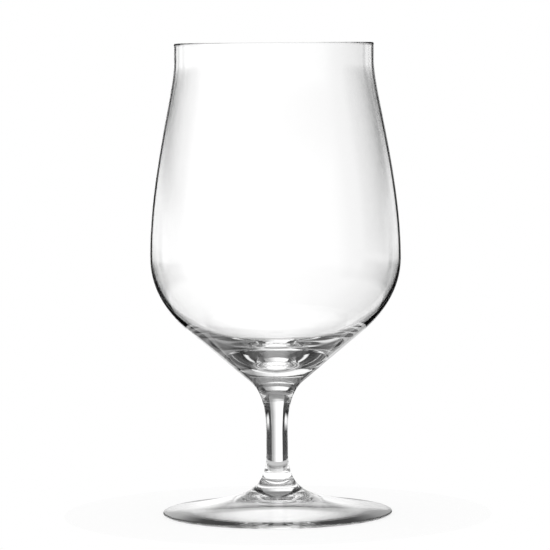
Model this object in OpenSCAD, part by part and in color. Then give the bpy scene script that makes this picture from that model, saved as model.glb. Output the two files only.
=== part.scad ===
// Chalice beer glass: a blown bowl with a heavy solid base, a drawn stem and a pressed round foot.
// Sizes are in millimetres. The glass turns about the Z axis and stands on Z = 0.
// The three pieces are fused hot on two flat discs, one under the bowl and one on top of the foot.

/* [Bowl] */
// Height of the bowl, from its join with the stem to the rim
bowl_h = 125; // [100:0.5:160]
// Outside diameter at the rim
rim_d = 69.8; // [58:0.2:84]
// Outside diameter at the widest part of the belly
belly_d = 87.8; // [76:0.1:110]
// Height of the widest part of the belly above the join
belly_h = 50.4; // [44:0.1:64]
// Height of the straight lip below the rim
lip_h = 7; // [3:0.5:14]
// How long the belly's curve holds before it turns in towards the lip, as a share of that stretch
belly_hold = 0.41; // [0.25:0.01:0.55]
// How long the lip's line holds before it turns out towards the belly, as a share of that stretch
lip_hold = 0.14; // [0.05:0.01:0.4]
// How far inside the belly's outside radius the round shoulder starts
shoulder_in = 13.9; // [9:0.1:18]
// How far below the widest part the round shoulder starts
shoulder_drop = 26.6; // [20:0.1:29]
// How long the cone's line holds into the shoulder, as a share of the shoulder
shoulder_hold = 0.27; // [0.15:0.01:0.5]
// How long the belly's line holds down into the shoulder, as a share of the shoulder
belly_hold_below = 0.43; // [0.3:0.01:0.6]
// Diameter at which the swept neck turns into the straight cone
neck_d = 19.3; // [17:0.1:28]
// Height of that turn above the join
neck_h = 6.8; // [5:0.1:11]

/* [Inside of the bowl] */
// Wall thickness at the lip
lip_wall = 1.2; // [0.6:0.1:2.4]
// Wall thickness at the belly
belly_wall = 0.7; // [0.5:0.1:3]
// Wall thickness where the well's side turns up into the inner shoulder
shoulder_wall = 2.1; // [1.2:0.1:5]
// How far inside the outer shoulder's start that turn is
well_in = 3; // [1:0.1:6]
// How long the belly's inside line holds down into the inner shoulder, as a share of the inner shoulder
inner_hold_below = 0.42; // [0.3:0.01:0.6]
// How much flatter than the outer cone the well's side is, in degrees
well_flatter = 4.2; // [2:0.1:12]
// Radius of the well's rounded bottom
well_round = 25; // [8:0.5:40]

/* [Stem] */
// Length of the stem between its two joins
stem_h = 27.4; // [12:0.1:60]
// Diameter at the waist
waist_d = 7.6; // [6:0.1:10]
// Height of the waist above the foot's join
waist_h = 10.5; // [4:0.1:11]
// Diameter at the join with the bowl
bowl_join_d = 10.5; // [10.2:0.1:14]
// Lean of the outline at the join with the bowl, in degrees from upright
bowl_join_lean = 18; // [8:1:30]
// Diameter at the join with the foot
foot_join_d = 11.1; // [10.2:0.1:14]
// Lean of the outline at the join with the foot, in degrees from upright
foot_join_lean = 27; // [10:1:40]

/* [Foot] */
// Diameter of the foot
foot_d = 80.4; // [64:0.1:100]
// Height of the foot at its join with the stem
foot_h = 12.6; // [10:0.1:18]
// Thickness of the foot's rounded edge
edge_t = 0.9; // [0.6:0.1:3]
// Climb of the foot's top just inside the edge, in degrees
edge_climb = 9; // [4:0.5:14]
// Diameter at which the foot's top turns up into the hub
hub_d = 32; // [24:0.5:44]
// Height of that turn
hub_h = 5.7; // [4:0.1:8]
// Climb of the foot's top at that turn, in degrees
hub_climb = 14.5; // [10:0.5:24]
// Thickness of the foot under that turn
hub_wall = 1.8; // [1:0.1:3]
// Climb of the underside below that turn, in degrees
under_climb = 12.5; // [8:0.5:16]
// Width of the flat ring that the glass stands on
rest_w = 1; // [0.6:0.1:6]
// Climb of the underside just inside the ring, in degrees
ring_climb = 4.7; // [0:0.1:7]
// Height of the hollow under the middle of the foot
hollow_h = 5.5; // [4:0.1:8]

/* [Hidden] */
$fn = 128;

// Steps along a smooth stretch of outline, and round a small edge
curve_steps = 16;
edge_steps = 10;
// Share of a stretch that a plain sweep holds its direction at either end
sweep_hold = 0.36;
// Shares of the foot's underside that keep the climb below the hub's turn, and the climb inside the ring
under_hold = 0.4;
ring_hold = 0.25;
glass_color = [0.86, 0.92, 0.93, 0.5];

// Heights of the two joins, the rim and the main places on the bowl
foot_join_z = foot_h;
bowl_join_z = foot_join_z + stem_h;
rim_z = bowl_join_z + bowl_h;
belly_z = bowl_join_z + belly_h;
lip_z = rim_z - lip_h;

// Main points of the outlines, each as [radius, height]
waist_at = [waist_d / 2, foot_join_z + waist_h];
foot_join_at = [foot_join_d / 2, foot_join_z];
bowl_join_at = [bowl_join_d / 2, bowl_join_z];
neck_at = [neck_d / 2, bowl_join_z + neck_h];
shoulder_at = [belly_d / 2 - shoulder_in, belly_z - shoulder_drop];
belly_at = [belly_d / 2, belly_z];
lip_at = [rim_d / 2, lip_z];
inner_belly_at = [belly_d / 2 - belly_wall, belly_z];
inner_lip_at = [rim_d / 2 - lip_wall, lip_z];
hub_at = [hub_d / 2, hub_h];

// Directions of the outline at those points, going up the glass
up = [0, 1];
outward = [1, 0];
bowl_join_way = [sin(bowl_join_lean), cos(bowl_join_lean)];
foot_join_way = [-sin(foot_join_lean), cos(foot_join_lean)];
cone_way = unit(shoulder_at - neck_at);
hub_way = [-cos(hub_climb), sin(hub_climb)];
edge_way = [-cos(edge_climb), sin(edge_climb)];
under_way = [-cos(under_climb), sin(under_climb)];
ring_way = [-cos(ring_climb), sin(ring_climb)];

// Well in the bowl's solid base: a cone flatter than the outer one, with a rounded bottom
inner_shoulder_at = shoulder_at - well_in / cone_way[0] * cone_way + [0, shoulder_wall / cone_way[0]];
well_slope = tan(atan2(cone_way[1], cone_way[0]) - well_flatter);
well_bend = well_round * well_slope * well_slope;
well_z = inner_shoulder_at[1] - well_rise(inner_shoulder_at[0]);
well_lean = well_slope * well_slope * inner_shoulder_at[0] / (well_rise(inner_shoulder_at[0]) + well_bend);
inner_shoulder_way = unit([1, well_lean]);

// Foot edge, a round of half the edge's thickness, and the underside from the ring to below the hub
edge_r = edge_t / 2;
edge_at = [foot_d / 2 - edge_r, edge_r];
edge_leaves_at = edge_at + edge_r * [sin(edge_climb), cos(edge_climb)];
ring_at = [foot_d / 2 - edge_r - rest_w, 0];
under_at = [hub_d / 2, hub_h - hub_wall];

function unit(v) = v / norm(v);

// Height of the well's surface above its lowest point, at a radius
function well_rise(r) = sqrt(well_bend * well_bend + r * r * well_slope * well_slope) - well_bend;

// Cubic curve from a to b that leaves along a_way and arrives along b_way.
// Each hold is the share of the straight distance for which that direction is kept.
function sweep(a, a_way, b, b_way, a_hold = sweep_hold, b_hold = sweep_hold) =
    let (span = norm(b - a), a_arm = a + a_way * a_hold * span, b_arm = b - b_way * b_hold * span)
    [for (i = [0 : curve_steps])
        let (t = i / curve_steps, s = 1 - t)
        s * s * s * a + 3 * s * s * t * a_arm + 3 * s * t * t * b_arm + t * t * t * b];

// Arc about a centre from one angle to another
function arc(centre, r, from, to, steps) =
    [for (i = [0 : steps]) let (a = from + (to - from) * i / steps) centre + r * [cos(a), sin(a)]];

// A stretch without its first point, to follow one that ends there
function after(points) = [for (i = [1 : len(points) - 1]) points[i]];

// A stretch read from its other end
function back(points) = [for (i = [len(points) - 1 : -1 : 0]) points[i]];

// Outside of the bowl, from its join up to the lip
function bowl_outside() = concat(
    sweep(bowl_join_at, bowl_join_way, neck_at, cone_way),
    sweep(shoulder_at, cone_way, belly_at, up, shoulder_hold, belly_hold_below),
    after(sweep(belly_at, up, lip_at, up, belly_hold, lip_hold)));

// Rounded rim, from the outside of the lip over to its inside
function rim() = arc([rim_d / 2 - lip_wall / 2, rim_z - lip_wall / 2], lip_wall / 2, 0, 180, edge_steps);

// Well, from its lowest point out to the shoulder
function well() =
    [for (i = [0 : curve_steps]) let (r = inner_shoulder_at[0] * i / curve_steps) [r, well_z + well_rise(r)]];

// Inside of the bowl, from the well in its solid base up to the lip
function bowl_inside() = concat(
    well(),
    after(sweep(inner_shoulder_at, inner_shoulder_way, inner_belly_at, up, shoulder_hold, inner_hold_below)),
    after(sweep(inner_belly_at, up, inner_lip_at, up, belly_hold, lip_hold)));

// Underside of the foot, from the middle of its hollow out to the resting ring
function foot_underside() = concat(
    sweep([0, hollow_h], outward, under_at, -under_way),
    after(sweep(under_at, -under_way, ring_at, -ring_way, under_hold, ring_hold)));

// Edge and sloping top of the foot, from the resting ring up to the stem's join
function foot_top() = concat(
    arc(edge_at, edge_r, -90, 90 - edge_climb, edge_steps),
    after(sweep(edge_leaves_at, edge_way, hub_at, hub_way)),
    after(sweep(hub_at, hub_way, foot_join_at, foot_join_way)));

module bowl() {
    color(glass_color)
    rotate_extrude()
    polygon(concat([[0, bowl_join_z]], bowl_outside(), rim(), back(bowl_inside())));
}

module stem() {
    color(glass_color)
    rotate_extrude()
    polygon(concat(
        [[0, foot_join_z]],
        sweep(foot_join_at, foot_join_way, waist_at, up),
        after(sweep(waist_at, up, bowl_join_at, bowl_join_way)),
        [[0, bowl_join_z]]));
}

module foot() {
    color(glass_color)
    rotate_extrude()
    polygon(concat(foot_underside(), foot_top(), [[0, foot_join_z]]));
}

bowl();
stem();
foot();
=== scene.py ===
"""Chalice beer glass: bowl, stem and foot as clear surfaces of revolution, on a white stage."""

import math

import bpy
import numpy as np
from bpy.props import FloatProperty, FloatVectorProperty, IntProperty, PointerProperty
from mathutils import Matrix


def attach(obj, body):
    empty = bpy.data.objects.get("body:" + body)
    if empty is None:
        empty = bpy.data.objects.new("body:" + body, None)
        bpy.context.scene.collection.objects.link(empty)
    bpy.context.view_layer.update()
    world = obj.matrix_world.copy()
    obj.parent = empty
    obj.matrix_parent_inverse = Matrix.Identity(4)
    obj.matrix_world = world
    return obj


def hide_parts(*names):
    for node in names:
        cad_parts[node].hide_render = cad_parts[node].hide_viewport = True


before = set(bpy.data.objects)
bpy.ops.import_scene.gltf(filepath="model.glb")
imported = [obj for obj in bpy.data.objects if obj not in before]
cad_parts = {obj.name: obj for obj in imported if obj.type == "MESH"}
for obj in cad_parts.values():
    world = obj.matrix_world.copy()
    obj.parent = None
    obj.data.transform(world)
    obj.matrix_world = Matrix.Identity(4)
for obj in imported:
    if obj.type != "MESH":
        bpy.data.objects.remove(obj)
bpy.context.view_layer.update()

bl_info = {
    "name": "Chalice Beer Glass",
    "version": (1, 0, 0),
    "blender": (4, 5, 0),
    "location": "View3D > Sidebar > Glass",
    "description": "Builds a clear stemmed beer chalice from its named sizes, and a white stage for it",
    "category": "Object",
}

UP = np.array([0.0, 1.0])
OUTWARD = np.array([1.0, 0.0])
CURVE_STEPS = 48
EDGE_STEPS = 16
SWEEP_HOLD = 0.36
FLOOR_RINGS = 12
FLOOR_TURNS = 96
FLOOR_DROP = 0.0002
SENSOR_WIDTH = 36.0
CLIP_START = 0.05
LIGHT_BOUNCES = 40
MIRROR_BOUNCES = 24


def length(name, description, default, least=0.0):
    """A size in metres, or a place along an axis where the least is below nought."""
    return FloatProperty(
        name=name, description=description, default=default, min=least, precision=6, unit="LENGTH")


def share(name, description, default):
    """A share of a stretch, from none of it to all."""
    return FloatProperty(
        name=name, description=description, default=default, min=0.0, max=1.0, subtype="FACTOR")


def angle(name, description, degrees):
    """An angle, written here in degrees."""
    return FloatProperty(
        name=name, description=description, default=math.radians(degrees), subtype="ANGLE")


def level(name, description, default):
    """A brightness, where 1 is white."""
    return FloatProperty(name=name, description=description, default=default, min=0.0, max=4.0)


class BowlSizes(bpy.types.PropertyGroup):
    """Sizes of the bowl, measured from its join with the stem."""

    height: length("Height", "From the join with the stem to the rim", 0.125)
    rim_width: length("Rim width", "Outside diameter at the rim", 0.0698)
    belly_width: length("Belly width", "Outside diameter at the widest part", 0.0878)
    belly_height: length("Belly height", "Height of the widest part above the join", 0.0504)
    lip_height: length("Lip height", "Height of the straight lip below the rim", 0.007)
    belly_hold: share("Belly hold", "How long the belly's line holds up towards the lip", 0.41)
    lip_hold: share("Lip hold", "How long the lip's line holds down towards the belly", 0.14)
    shoulder_in: length("Shoulder inset", "How far inside the belly the shoulder starts", 0.0139)
    shoulder_drop: length("Shoulder drop", "How far below the belly the shoulder starts", 0.0266)
    shoulder_hold: share("Shoulder hold", "How long the cone's line holds into the shoulder", 0.27)
    belly_hold_below: share("Lower belly hold", "How long its line holds down to the shoulder", 0.43)
    neck_width: length("Neck width", "Diameter where the neck turns into the cone", 0.0193)
    neck_height: length("Neck height", "Height of that turn above the join", 0.0068)
    lip_wall: length("Lip wall", "Wall thickness at the lip", 0.0012)
    belly_wall: length("Belly wall", "Wall thickness at the belly", 0.0007)
    shoulder_wall: length("Shoulder wall", "Wall thickness where the well's side turns up", 0.0021)
    well_in: length("Well inset", "How far inside the outer shoulder's start that turn is", 0.003)
    inner_hold_below: share("Inner belly hold", "How long the inside line holds down to that turn", 0.42)
    well_flatter: angle("Well flatter by", "How much flatter than the outer cone the well's side is", 4.2)
    well_round: length("Well rounding", "Radius of the well's rounded bottom", 0.025)


class StemSizes(bpy.types.PropertyGroup):
    """Sizes of the drawn stem and of its two joins."""

    height: length("Length", "Between the two joins", 0.0274)
    waist_width: length("Waist width", "Diameter at the waist", 0.0076)
    waist_height: length("Waist height", "Height of the waist above the foot's join", 0.0105)
    bowl_join_width: length("Upper join width", "Diameter at the join with the bowl", 0.0105)
    bowl_join_lean: angle("Upper join lean", "Lean of the outline there, from upright", 18)
    foot_join_width: length("Lower join width", "Diameter at the join with the foot", 0.0111)
    foot_join_lean: angle("Lower join lean", "Lean of the outline there, from upright", 27)


class FootSizes(bpy.types.PropertyGroup):
    """Sizes of the pressed foot."""

    width: length("Width", "Diameter of the foot", 0.0804)
    height: length("Height", "Height at the join with the stem", 0.0126)
    edge_thickness: length("Edge thickness", "Thickness of the rounded edge", 0.0009)
    edge_climb: angle("Edge climb", "Climb of the top just inside the edge", 9)
    hub_width: length("Hub width", "Diameter where the top turns up into the hub", 0.032)
    hub_height: length("Hub height", "Height of that turn", 0.0057)
    hub_climb: angle("Hub climb", "Climb of the top at that turn", 14.5)
    ring_width: length("Ring width", "Width of the flat ring that the glass stands on", 0.001)
    ring_climb: angle("Ring climb", "Climb of the underside just inside the ring", 4.7)
    hub_wall: length("Hub wall", "Thickness of the foot under that turn", 0.0018)
    hollow_height: length("Hollow height", "Height of the hollow under the middle", 0.0055)
    under_climb: angle("Underside climb", "Climb of the underside below the hub's turn", 12.5)
    under_hold: share("Underside hold", "How long the underside keeps that climb", 0.4)
    ring_hold: share("Ring hold", "How long the underside keeps the ring's climb", 0.25)


class GlassFinish(bpy.types.PropertyGroup):
    """Look of the glass."""

    tint: FloatVectorProperty(
        name="Tint", description="Colour of the clear glass", default=(1.0, 1.0, 1.0), min=0.0, max=1.0,
        subtype="COLOR")
    ior: FloatProperty(
        name="Refraction", description="Index of refraction", default=1.52, min=1.0, max=2.5)
    wave: length("Wave depth", "Depth of the surface's faint waves", 0.000004)
    wave_size: length("Wave size", "Distance between those waves", 0.011)
    polish: level("Roughness", "Most that the fire polish is dulled by handling", 0.012)
    turns: IntProperty(
        name="Steps round", description="Steps round each piece", default=192, min=24, max=256)


class StageSettings(bpy.types.PropertyGroup):
    """Camera, floor and the studio round the glass."""

    camera_distance: length("Camera distance", "From the glass's axis", 1.19)
    camera_height: length("Camera height", "Above the floor", 0.166)
    camera_aside: length("Camera aside", "To the right of the axis", -0.00023, least=-1.0)
    camera_tilt: angle("Camera tilt", "Down from level", 3.95)
    camera_roll: angle("Camera roll", "Lean of the camera to its right", 0.491)
    focal: FloatProperty(
        name="Focal length", description="In millimetres, on a 36 mm frame", default=223.1, min=1.0)
    floor_radius: length("Floor radius", "Radius of the pale round floor", 0.075)
    floor_glow: share("Floor glow", "Part of the floor's white that takes no shadow", 0.8)
    # Painted light and painted shadow of the floor, which only the glass shows: levels and reaches of a glow
    # painted by radius and depth, not light or shade that any lamp casts.
    painted_light_under_foot: level("Floor under the foot", "Brightness of the floor seen through the foot", 1.25)
    painted_shade_aside: level("Floor aside", "Brightness of the open floor seen in the glass", 0.35)
    shadow: level("Floor in the shadow", "Brightness of the floor in the shadow of the foot's edge", 0.12)
    painted_half_shadow: level("Floor in half shadow", "Brightness of the floor from the hub to that shadow", 0.62)
    shadow_behind: length("Shadow behind", "How far behind the axis both shadows set in", -0.012, least=-1.0)
    shadow_depth: length("Shadow's depth", "Distance over which they set in", 0.02)
    half_in: length("Half shadow inwards", "How far inside the hub's turn the half shadow starts", 0.002)
    half_out: length("Half shadow outwards", "How far outside the hub's turn it is full", 0.006)
    shadow_in: length("Shadow inwards", "How far inside the foot's edge the shadow starts", 0.01)
    shadow_fade: length("Shadow's fade", "Distance over which the shadow grows full", 0.004)
    shadow_out: length("Shadow outwards", "How far outside the foot's edge the shadow is full", 0.004)
    shadow_clear: length("Shadow's clearing", "Distance over which it clears outside that", 0.01)
    ambient: level("Soft light", "Level of the soft light from all round", 1.0)
    backdrop: level("Backdrop", "Brightness of the backdrop seen in the glass", 1.15)
    backdrop_dim: level("Backdrop's dim side", "Brightness of the backdrop's right edge", 0.36)
    over_backdrop: level("Over the backdrop", "Brightness above the backdrop", 0.24)
    card: level("Dark card", "Brightness of the dark cards", 0.01)
    left_wall: level("Left wall", "Brightness of the lit wall on the left", 0.7)
    right_wall: level("Right wall", "Brightness of the wall on the right", 0.34)
    ceiling: level("Ceiling", "Brightness of the ceiling", 0.25)
    card_foot: angle("Cards' lower edge", "Height of the lower cards' foot above level", -22)
    card_soft: angle("Cards' softness", "Height over which that edge fades", 1.5)
    gap_foot: angle("Gap's lower edge", "Height above level of the gap between the cards", -6.5)
    gap_top: angle("Gap's upper edge", "Height above level of the upper cards' foot", 2)
    gap_soft: angle("Gap's softness", "Height over which the gap's two edges fade", 4.5)
    backdrop_top: angle("Backdrop's top", "Height of the backdrop's upper edge above level", 14.9)
    backdrop_soft: angle("Backdrop's softness", "Height over which that edge fades", 6)
    ceiling_foot: angle("Ceiling's edge", "Height of the ceiling's edge above level", 55)
    ceiling_soft: angle("Ceiling's softness", "Height over which that edge fades", 15)
    card_aside: length("Near cards aside", "From the axis to the near cards' inner edges", 0.08)
    card_width: length("Near cards' width", "Width of each near card", 0.052)
    card_behind: length("Near cards behind", "How far behind the axis the near cards stand", 0.2)
    card_height: length("Near cards' height", "Height of the near cards' tops", 0.4)
    card_below: length("Near cards below", "How far the near cards reach below the floor", 0.1)


def unit(way):
    """The direction of a vector, one long."""
    return np.asarray(way, float) / np.hypot(*way)


def sweep(start, start_way, end, end_way, start_hold=SWEEP_HOLD, end_hold=SWEEP_HOLD, steps=CURVE_STEPS):
    """Cubic Bezier curve that leaves along one direction and arrives along another.

    Each arm is its hold times the straight distance from start to end.
    """
    start, end = np.asarray(start, float), np.asarray(end, float)
    span = np.hypot(*(end - start))
    start_arm = start + np.asarray(start_way) * start_hold * span
    end_arm = end - np.asarray(end_way) * end_hold * span
    t = np.linspace(0.0, 1.0, steps + 1)[:, None]
    s = 1.0 - t
    return s**3 * start + 3 * s**2 * t * start_arm + 3 * s * t**2 * end_arm + t**3 * end


def arc(centre, radius, start, end, steps=EDGE_STEPS):
    """Part of a circle about a centre, between two angles in radians."""
    turn = np.linspace(start, end, steps + 1)
    return np.asarray(centre) + radius * np.column_stack((np.cos(turn), np.sin(turn)))


def straight(start, end, steps):
    """Even steps on the line from start to end."""
    start, end = np.asarray(start), np.asarray(end)
    return start + np.linspace(0.0, 1.0, steps + 1)[:, None] * (end - start)


def joined(*stretches):
    """Stretches in a row, each after the first without its first point, which ends the one before."""
    return np.concatenate([stretches[0]] + [s[1:] for s in stretches[1:]])


def join_points(scene):
    """The two fused joins as radius and height, each with the direction of the outline going up there."""
    stem, foot = scene.chalice_stem, scene.chalice_foot
    low = np.array([stem.foot_join_width / 2, foot.height])
    high = np.array([stem.bowl_join_width / 2, foot.height + stem.height])
    low_way = np.array([-math.sin(stem.foot_join_lean), math.cos(stem.foot_join_lean)])
    high_way = np.array([math.sin(stem.bowl_join_lean), math.cos(stem.bowl_join_lean)])
    return low, low_way, high, high_way


def bowl_outline(scene):
    """Outline of the bowl: join, neck, cone, shoulder, belly and lip outside, rim, then down the inside.

    The well's height over its lowest point is the root of a bend squared plus the cone's height squared,
    less the bend, so that it is round at the bottom and runs out into a straight cone.
    """
    bowl = scene.chalice_bowl
    _, _, join, join_way = join_points(scene)
    rim_z = join[1] + bowl.height
    lip_z = rim_z - bowl.lip_height
    neck = np.array([bowl.neck_width / 2, join[1] + bowl.neck_height])
    belly = np.array([bowl.belly_width / 2, join[1] + bowl.belly_height])
    shoulder = belly - np.array([bowl.shoulder_in, bowl.shoulder_drop])
    lip = np.array([bowl.rim_width / 2, lip_z])
    cone_way = unit(shoulder - neck)
    edge = bowl.lip_wall / 2
    outside = joined(
        sweep(join, join_way, neck, cone_way),
        straight(neck, shoulder, CURVE_STEPS // 2),
        sweep(shoulder, cone_way, belly, UP, bowl.shoulder_hold, bowl.belly_hold_below),
        sweep(belly, UP, lip, UP, bowl.belly_hold, bowl.lip_hold),
        straight(lip, (lip[0], rim_z - edge), EDGE_STEPS // 2),
        arc((lip[0] - edge, rim_z - edge), edge, 0.0, math.pi))
    turn_up = shoulder - bowl.well_in / cone_way[0] * cone_way + UP * bowl.shoulder_wall / cone_way[0]
    slope = math.tan(math.atan2(cone_way[1], cone_way[0]) - bowl.well_flatter)
    bend = bowl.well_round * slope**2
    well_r = np.linspace(0.0, turn_up[0], CURVE_STEPS + 1)
    rise = np.sqrt(bend**2 + (well_r * slope) ** 2) - bend
    well = np.column_stack((well_r, turn_up[1] - rise[-1] + rise))
    turn_way = unit((1.0, slope**2 * turn_up[0] / (rise[-1] + bend)))
    inner_belly = belly - OUTWARD * bowl.belly_wall
    inner_lip = lip - OUTWARD * bowl.lip_wall
    inside = joined(
        well,
        sweep(turn_up, turn_way, inner_belly, UP, bowl.shoulder_hold, bowl.inner_hold_below),
        sweep(inner_belly, UP, inner_lip, UP, bowl.belly_hold, bowl.lip_hold),
        straight(inner_lip, (inner_lip[0], rim_z - edge), EDGE_STEPS // 2))
    return np.concatenate([[[0.0, join[1]]], joined(outside, inside[::-1])])


def stem_outline(scene):
    """Outline of the stem: lower join, sweep in to the waist, sweep out to the upper join."""
    stem = scene.chalice_stem
    low, low_way, high, high_way = join_points(scene)
    waist = np.array([stem.waist_width / 2, low[1] + stem.waist_height])
    side = joined(sweep(low, low_way, waist, UP), sweep(waist, UP, high, high_way))
    return np.concatenate([[[0.0, low[1]]], side, [[0.0, high[1]]]])


def foot_outline(scene):
    """Outline of the foot: hollow underside, resting ring, round edge, sloping top, hub, join."""
    foot = scene.chalice_foot
    join, join_way, _, _ = join_points(scene)
    edge = foot.edge_thickness / 2
    hub = np.array([foot.hub_width / 2, foot.hub_height])
    hub_way = np.array([-math.cos(foot.hub_climb), math.sin(foot.hub_climb)])
    edge_way = np.array([-math.cos(foot.edge_climb), math.sin(foot.edge_climb)])
    under = hub - UP * foot.hub_wall
    under_way = np.array([math.cos(foot.under_climb), -math.sin(foot.under_climb)])
    ring_way = np.array([math.cos(foot.ring_climb), -math.sin(foot.ring_climb)])
    ring_out = np.array([foot.width / 2 - edge, 0.0])
    ring_in = ring_out - OUTWARD * foot.ring_width
    rounding = arc(ring_out + UP * edge, edge, -math.pi / 2, math.pi / 2 - foot.edge_climb)
    outline = joined(
        sweep((0.0, foot.hollow_height), OUTWARD, under, under_way),
        sweep(under, under_way, ring_in, ring_way, foot.under_hold, foot.ring_hold),
        straight(ring_in, ring_out, EDGE_STEPS // 2),
        rounding,
        sweep(rounding[-1], edge_way, hub, hub_way),
        sweep(hub, hub_way, join, join_way))
    return np.concatenate([outline, [[0.0, join[1]]]])


def ring_points(rings, turns):
    """Rings of points about the axis: radius times cosine and sine of even turns, and the height."""
    turn = 2.0 * math.pi * np.arange(turns) / turns
    x = rings[:, :1] * np.cos(turn)
    y = rings[:, :1] * np.sin(turn)
    z = np.repeat(rings[:, 1:], turns, axis=1)
    return np.stack((x, y, z), axis=-1).reshape(-1, 3)


def ring_quads(count, turns):
    """Four-sided faces between each ring and the next, where one single point comes before the rings."""
    step = np.arange(turns)
    after = (step + 1) % turns
    low = 1 + turns * np.arange(count - 1)[:, None]
    high = low + turns
    return np.stack((low + step, low + after, high + after, high + step), axis=-1).reshape(-1, 4)


def revolve(name, outline, turns, join_below=False, join_above=False):
    """Closed surface of revolution from an outline that starts and ends on the axis.

    The outline's points turn into rings, and its ends are single points with fans of triangles. A fan that
    is a fused join takes the second material and stays flat.
    """
    rings = outline[1:-1]
    ends = np.array([[0.0, 0.0, outline[0, 1]], [0.0, 0.0, outline[-1, 1]]])
    places = np.concatenate((ends[:1], ring_points(rings, turns), ends[1:]))
    quads = ring_quads(len(rings), turns)
    step = np.arange(turns)
    after = (step + 1) % turns
    first = np.column_stack((np.zeros(turns, int), 1 + after, 1 + step))
    top = 1 + turns * (len(rings) - 1)
    last = np.column_stack((top + step, top + after, np.full(turns, len(places) - 1)))
    mesh = bpy.data.meshes.new(name)
    mesh.from_pydata(places.tolist(), [], first.tolist() + quads.tolist() + last.tolist())
    is_join = np.zeros(len(mesh.polygons), bool)
    is_join[:turns] = join_below
    is_join[-turns:] = join_above
    mesh.polygons.foreach_set("use_smooth", ~is_join)
    mesh.polygons.foreach_set("material_index", is_join.astype(np.int32))
    mesh.update()
    if mesh.validate():
        raise RuntimeError(name + " has a broken mesh")
    piece = bpy.data.objects.new(name, mesh)
    bpy.context.collection.objects.link(piece)
    return piece


def node(tree, kind, **inputs):
    """A shader node with values set on its own sockets."""
    made = tree.nodes.new(kind)
    for socket, value in inputs.items():
        made.inputs[socket.replace("_", " ")].default_value = value
    return made


def math_node(tree, operation, *values):
    """A Math node with links or numbers on its inputs, and its result."""
    made = tree.nodes.new("ShaderNodeMath")
    made.operation = operation
    for socket, value in zip(made.inputs, values):
        if isinstance(value, bpy.types.NodeSocket):
            tree.links.new(value, socket)
        else:
            socket.default_value = value
    return made.outputs[0]


def blend(tree, factor, low, high):
    """Low plus factor times the difference of high and low."""
    made = tree.nodes.new("ShaderNodeMix")
    made.data_type = "FLOAT"
    for socket, value in zip((made.inputs[0], made.inputs[2], made.inputs[3]), (factor, low, high)):
        if isinstance(value, bpy.types.NodeSocket):
            tree.links.new(value, socket)
        else:
            socket.default_value = value
    return made.outputs[0]


def ramp(tree, factor, stops):
    """Brightness along a factor from nought to one, straight between its stops."""
    made = tree.nodes.new("ShaderNodeValToRGB")
    tree.links.new(factor, made.inputs["Fac"])
    marks = made.color_ramp.elements
    for i, (position, bright) in enumerate(stops):
        mark = marks[i] if i < len(marks) else marks.new(1.0)
        mark.position = position
        mark.color = (bright, bright, bright, 1.0)
    return made.outputs["Color"]


def bare_material(name):
    """A new material with nothing but its output, and its node tree."""
    material = bpy.data.materials.new(name)
    material.use_nodes = True
    tree = material.node_tree
    tree.nodes.remove(tree.nodes["Principled BSDF"])
    return material, tree


def clear_glass(finish):
    """Clear fire-polished glass: faint waves in the surface, and a polish dulled by handling in places."""
    material = bpy.data.materials.get("clear_glass_finish")
    if material:
        return material
    material = bpy.data.materials.new("clear_glass_finish")
    material.use_nodes = True
    tree = material.node_tree
    link = tree.links.new
    glass = tree.nodes["Principled BSDF"]
    glass.inputs["Base Color"].default_value = (*finish.tint, 1.0)
    glass.inputs["IOR"].default_value = finish.ior
    glass.inputs["Transmission Weight"].default_value = 1.0
    place = tree.nodes.new("ShaderNodeTexCoord")
    waves = node(tree, "ShaderNodeTexNoise", Scale=1.0 / finish.wave_size, Detail=1.0, Roughness=0.4)
    bump = node(tree, "ShaderNodeBump", Strength=1.0, Distance=finish.wave)
    handling = node(tree, "ShaderNodeTexNoise", Scale=45.0, Detail=4.0, Roughness=0.6)
    dulled = node(
        tree, "ShaderNodeMapRange", From_Min=0.55, From_Max=0.8, To_Min=0.0, To_Max=finish.polish)
    link(place.outputs["Object"], waves.inputs["Vector"])
    link(place.outputs["Object"], handling.inputs["Vector"])
    link(waves.outputs["Fac"], bump.inputs["Height"])
    link(bump.outputs["Normal"], glass.inputs["Normal"])
    link(handling.outputs["Fac"], dulled.inputs["Value"])
    link(dulled.outputs["Result"], glass.inputs["Roughness"])
    return material


def fused_join():
    """Inside of a hot joint, where the glass runs on without a surface, so light passes straight on."""
    material = bpy.data.materials.get("fused_join")
    if material:
        return material
    material, tree = bare_material("fused_join")
    clear = node(tree, "ShaderNodeBsdfTransparent", Color=(1.0, 1.0, 1.0, 1.0))
    tree.links.new(clear.outputs["BSDF"], tree.nodes["Material Output"].inputs["Surface"])
    return material


def stand_for(piece, cad_node, finish):
    """Give a piece its glass and let it stand for its CAD node, still on the one body."""
    piece.data.materials.append(clear_glass(finish))
    piece.data.materials.append(fused_join())
    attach(piece, "root")
    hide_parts(cad_node)


class CHALICE_OT_bowl(bpy.types.Operator):
    """Blown bowl with a heavy solid base"""

    bl_idname = "chalice.bowl"
    bl_label = "Bowl"

    def execute(self, context):
        finish = context.scene.chalice_finish
        piece = revolve("glass_bowl", bowl_outline(context.scene), finish.turns, join_below=True)
        stand_for(piece, "bowl", finish)
        return {"FINISHED"}


class CHALICE_OT_stem(bpy.types.Operator):
    """Drawn stem"""

    bl_idname = "chalice.stem"
    bl_label = "Stem"

    def execute(self, context):
        finish = context.scene.chalice_finish
        outline = stem_outline(context.scene)
        piece = revolve("glass_stem", outline, finish.turns, join_below=True, join_above=True)
        stand_for(piece, "stem", finish)
        return {"FINISHED"}


class CHALICE_OT_foot(bpy.types.Operator):
    """Pressed round foot"""

    bl_idname = "chalice.foot"
    bl_label = "Foot"

    def execute(self, context):
        finish = context.scene.chalice_finish
        piece = revolve("glass_foot", foot_outline(context.scene), finish.turns, join_above=True)
        stand_for(piece, "foot", finish)
        return {"FINISHED"}


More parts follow.
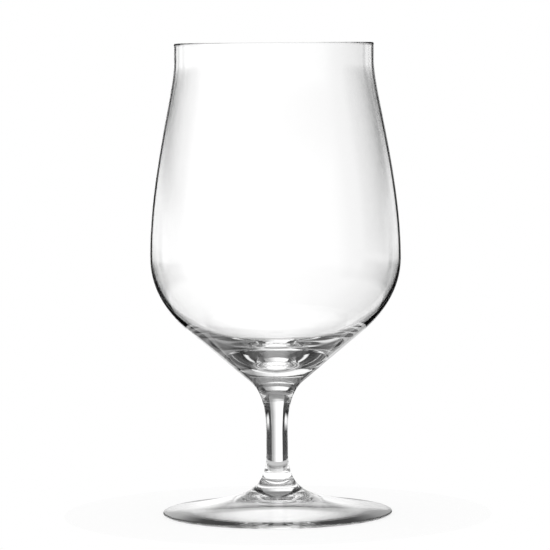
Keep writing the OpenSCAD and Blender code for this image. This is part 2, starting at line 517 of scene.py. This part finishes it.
def painted_floor_shade_rings(stage):
    """Painted brightness of the floor behind the axis by radius, as the glass shows it; no lamp casts it.

    Painted light brighter than white under the hub, painted half shadow out to near the foot's edge, painted
    shadow dark round the edge, painted shade grey beyond.
    """
    foot = bpy.context.scene.chalice_foot
    hub, edge = foot.hub_width / 2, foot.width / 2
    start, end = edge - stage.shadow_in, edge + stage.shadow_out
    return (
        (0.0, stage.painted_light_under_foot),
        (hub - stage.half_in, stage.painted_light_under_foot),
        (hub + stage.half_out, stage.painted_half_shadow),
        (start, stage.painted_half_shadow),
        # Painted shadow round the foot's edge.
        (start + stage.shadow_fade, stage.shadow),
        (end, stage.shadow),
        (end + stage.shadow_clear, stage.painted_shade_aside),
        (stage.floor_radius, stage.painted_shade_aside))


def floor_white_with_painted_shade(stage):
    """Pale floor: plain white with the glass's cast shadow to the camera, and painted light or painted
    shadow to the glass.
    """
    material, tree = bare_material("floor_white_with_painted_shade")
    link = tree.links.new
    rest = 1.0 - stage.floor_glow
    paint = node(tree, "ShaderNodeBsdfDiffuse", Color=(rest, rest, rest, 1.0))
    glow = node(tree, "ShaderNodeEmission", Color=(1.0, 1.0, 1.0, 1.0))
    both = tree.nodes.new("ShaderNodeAddShader")
    path = tree.nodes.new("ShaderNodeLightPath")
    bent = math_node(tree, "MAXIMUM", path.outputs["Is Glossy Ray"], path.outputs["Is Transmission Ray"])
    place = tree.nodes.new("ShaderNodeTexCoord")
    reach = tree.nodes.new("ShaderNodeVectorMath")
    reach.operation = "LENGTH"
    link(place.outputs["Object"], reach.inputs[0])
    away = math_node(tree, "DIVIDE", reach.outputs["Value"], stage.floor_radius)
    # Painted shade rings: the floor's glow to the glass by radius stands in for the foot's shadow and light.
    rings = [(radius / stage.floor_radius, bright) for radius, bright in painted_floor_shade_rings(stage)]
    shade = ramp(tree, away, rings)
    axes = tree.nodes.new("ShaderNodeSeparateXYZ")
    link(place.outputs["Object"], axes.inputs[0])
    # The painted shade sets in behind the axis; in front the glass sees the painted light under the foot.
    start = stage.shadow_behind
    behind = node(tree, "ShaderNodeMapRange", From_Min=start, From_Max=start + stage.shadow_depth)
    link(axes.outputs["Y"], behind.inputs["Value"])
    seen = blend(tree, behind.outputs["Result"], stage.painted_light_under_foot, shade)
    # Only mirrored and bent rays see the painted glow; the camera sees the even white glow and the diffuse
    # part's real shadow.
    painted_glow = blend(tree, bent, 0.0, seen)
    link(blend(tree, path.outputs["Is Camera Ray"], painted_glow, stage.floor_glow), glow.inputs["Strength"])
    link(paint.outputs["BSDF"], both.inputs[0])
    link(glow.outputs["Emission"], both.inputs[1])
    link(both.outputs["Shader"], tree.nodes["Material Output"].inputs["Surface"])
    return material


def pale_floor(stage):
    """Round pale floor just under the foot: rings of points about a middle one, at even radii and turns."""
    radius = np.linspace(0.0, stage.floor_radius, FLOOR_RINGS + 1)[1:]
    rings = np.column_stack((radius, np.zeros(FLOOR_RINGS)))
    places = np.concatenate((np.zeros((1, 3)), ring_points(rings, FLOOR_TURNS)))
    quads = ring_quads(FLOOR_RINGS, FLOOR_TURNS)[:, ::-1]
    step = np.arange(FLOOR_TURNS)
    fan = np.column_stack((np.zeros(FLOOR_TURNS, int), 1 + step, 1 + (step + 1) % FLOOR_TURNS))
    mesh = bpy.data.meshes.new("floor")
    mesh.from_pydata(places.tolist(), [], fan.tolist() + quads.tolist())
    mesh.materials.append(floor_white_with_painted_shade(stage))
    mesh.update()
    floor = bpy.data.objects.new("floor", mesh)
    bpy.context.collection.objects.link(floor)
    floor.location.z = -FLOOR_DROP


def near_cards(stage):
    """Two upright dark cards behind the glass, out of the camera's sight, that draw its edges."""
    material, tree = bare_material("card_black")
    dull = node(tree, "ShaderNodeEmission", Color=(1.0, 1.0, 1.0, 1.0), Strength=stage.card)
    tree.links.new(dull.outputs["Emission"], tree.nodes["Material Output"].inputs["Surface"])
    near, far = stage.card_aside, stage.card_aside + stage.card_width
    x = np.array([[near, far, far, near], [-far, -near, -near, -far]]).ravel()
    foot, top = -stage.card_below, stage.card_height
    z = np.tile([foot, foot, top, top], 2)
    places = np.column_stack((x, np.full(len(x), stage.card_behind), z))
    mesh = bpy.data.meshes.new("near_cards")
    mesh.from_pydata(places.tolist(), [], [(0, 1, 2, 3), (4, 5, 6, 7)])
    mesh.materials.append(material)
    mesh.update()
    cards = bpy.data.objects.new("near_cards", mesh)
    bpy.context.collection.objects.link(cards)
    cards.visible_camera = False
    cards.visible_diffuse = False
    cards.visible_shadow = False


def level_belt(stage):
    """Brightness level with the glass, by degrees from straight behind it, positive to the right.

    A white backdrop that dims to the right, a dark card at either side of it, a lit wall on the left, a
    greyer one on the right, and white behind the camera.
    """
    back, dim, card = stage.backdrop, stage.backdrop_dim, stage.card
    left, right = stage.left_wall, stage.right_wall
    return (
        (-180, 1.0), (-125, left), (-90, left), (-80, left * 0.2), (-66, left * 0.1),
        (-56, card), (-22.5, card),
        (-20.5, back), (-1, back), (7, back * 0.68), (14, dim * 1.15), (20.5, dim),
        (22.5, card), (56, card),
        (66, right * 0.3), (90, right), (108, right), (122, 0.85), (180, 1.0))


def gap_belt(stage):
    """Brightness in the gap between the upper and the lower cards: white where they would stand."""
    back, dim = stage.backdrop, stage.backdrop_dim
    left, right = stage.left_wall, stage.right_wall
    return (
        (-180, 1.0), (-125, left), (-76, left), (-60, 1.0),
        (-20.5, back), (-1, back), (7, back * 0.68), (14, dim * 1.15), (20.5, dim),
        (26, 1.0), (48, 1.0), (62, right), (108, right), (122, 0.85), (180, 1.0))


def high_belt(stage):
    """Brightness above the backdrop: grey over it, dark over the cards, dimmer walls, grey in front."""
    over, card, dimmer = stage.over_backdrop, stage.card, 0.41
    left, right = stage.left_wall * dimmer, stage.right_wall * dimmer
    return (
        (-180, 0.2), (-125, left), (-90, left),
        (-76, card), (-36, card),
        (-24, over), (22, over),
        (34, card), (72, card),
        (88, right), (110, right), (180, 0.2))


def low_belt():
    """Brightness below the cards: the white table, a little greyer to the sides and in front."""
    return ((-180, 0.8), (-60, 0.9), (-28, 0.9), (-20, 1.0), (18, 1.0), (25, 0.9), (60, 0.9), (180, 0.8))


def bright_by_turn(tree, turn, belt):
    """Brightness round the glass, by a belt with its stops in degrees."""
    return ramp(tree, turn, [(degrees / 360.0 + 0.5, bright) for degrees, bright in belt])


def studio_world(scene, stage):
    """White to the camera, the studio's walls to mirrored and bent rays, soft even light to all others."""
    world = bpy.data.worlds.new("studio")
    scene.world = world
    world.use_nodes = True
    tree = world.node_tree
    link = tree.links.new
    place = tree.nodes.new("ShaderNodeTexCoord")
    axes = tree.nodes.new("ShaderNodeSeparateXYZ")
    link(place.outputs["Generated"], axes.inputs[0])
    x, y, z = axes.outputs
    around = math_node(tree, "DIVIDE", math_node(tree, "ARCTAN2", x, y), 2.0 * math.pi)
    turn = math_node(tree, "ADD", around, 0.5)
    climb = math_node(tree, "ARCSINE", z)
    cards = bright_by_turn(tree, turn, level_belt(stage))
    round_about = bright_by_turn(tree, turn, low_belt())
    belts = (
        (stage.card_foot, stage.card_soft, cards),
        (stage.gap_foot, stage.gap_soft, bright_by_turn(tree, turn, gap_belt(stage))),
        (stage.gap_top, stage.gap_soft, cards),
        (stage.backdrop_top, stage.backdrop_soft, bright_by_turn(tree, turn, high_belt(stage))),
        (stage.ceiling_foot, stage.ceiling_soft, stage.ceiling))
    for start, softness, bright in belts:
        reach = node(tree, "ShaderNodeMapRange", From_Min=start, From_Max=start + softness)
        link(climb, reach.inputs["Value"])
        round_about = blend(tree, reach.outputs["Result"], round_about, bright)
    path = tree.nodes.new("ShaderNodeLightPath")
    bent = math_node(tree, "MAXIMUM", path.outputs["Is Glossy Ray"], path.outputs["Is Transmission Ray"])
    lit = blend(tree, bent, stage.ambient, round_about)
    link(blend(tree, path.outputs["Is Camera Ray"], lit, 1.0), tree.nodes["Background"].inputs["Strength"])
    tree.nodes["Background"].inputs["Color"].default_value = (1.0, 1.0, 1.0, 1.0)


def photo_camera(scene, stage):
    """Camera in front of the glass, tilted down and rolled by small angles."""
    data = bpy.data.cameras.new("camera")
    data.sensor_width = SENSOR_WIDTH
    data.lens = stage.focal
    data.clip_start = CLIP_START
    camera = bpy.data.objects.new("camera", data)
    scene.collection.objects.link(camera)
    place = Matrix.Translation((stage.camera_aside, -stage.camera_distance, stage.camera_height))
    tilt = Matrix.Rotation(math.pi / 2 - stage.camera_tilt, 4, "X")
    camera.matrix_world = place @ tilt @ Matrix.Rotation(-stage.camera_roll, 4, "Z")
    scene.camera = camera


class CHALICE_OT_stage(bpy.types.Operator):
    """Pale floor, studio light and camera"""

    bl_idname = "chalice.stage"
    bl_label = "Stage"

    def execute(self, context):
        scene = context.scene
        stage = scene.chalice_stage
        pale_floor(stage)
        near_cards(stage)
        studio_world(scene, stage)
        photo_camera(scene, stage)
        scene.view_settings.view_transform = "Standard"
        scene.cycles.max_bounces = LIGHT_BOUNCES
        scene.cycles.transmission_bounces = LIGHT_BOUNCES
        scene.cycles.glossy_bounces = MIRROR_BOUNCES
        scene.cycles.transparent_max_bounces = LIGHT_BOUNCES
        return {"FINISHED"}


class CHALICE_PT_sidebar(bpy.types.Panel):
    """Sizes and steps of the glass"""

    bl_idname = "CHALICE_PT_sidebar"
    bl_label = "Chalice Beer Glass"
    bl_space_type = "VIEW_3D"
    bl_region_type = "UI"
    bl_category = "Glass"

    def draw(self, context):
        for name, _ in GROUPS:
            group = getattr(context.scene, name)
            column = self.layout.column(align=True)
            for key in group.__annotations__:
                column.prop(group, key)
        for operator in OPERATORS:
            self.layout.operator(operator.bl_idname)


GROUPS = (
    ("chalice_bowl", BowlSizes),
    ("chalice_stem", StemSizes),
    ("chalice_foot", FootSizes),
    ("chalice_finish", GlassFinish),
    ("chalice_stage", StageSettings),
)
OPERATORS = (CHALICE_OT_bowl, CHALICE_OT_stem, CHALICE_OT_foot, CHALICE_OT_stage)


def register():
    """Register the groups of sizes, the operators and the panel."""
    for name, group in GROUPS:
        bpy.utils.register_class(group)
        setattr(bpy.types.Scene, name, PointerProperty(type=group))
    for made in (*OPERATORS, CHALICE_PT_sidebar):
        bpy.utils.register_class(made)


def unregister():
    """Take back what register added."""
    for made in (CHALICE_PT_sidebar, *reversed(OPERATORS)):
        bpy.utils.unregister_class(made)
    for name, group in reversed(GROUPS):
        delattr(bpy.types.Scene, name)
        bpy.utils.unregister_class(group)


def main():
    """Build the glass and its stage."""
    register()
    for build in (bpy.ops.chalice.bowl, bpy.ops.chalice.stem, bpy.ops.chalice.foot, bpy.ops.chalice.stage):
        if build() != {"FINISHED"}:
            raise RuntimeError("a step did not finish")


if __name__ == "__main__":
    main()
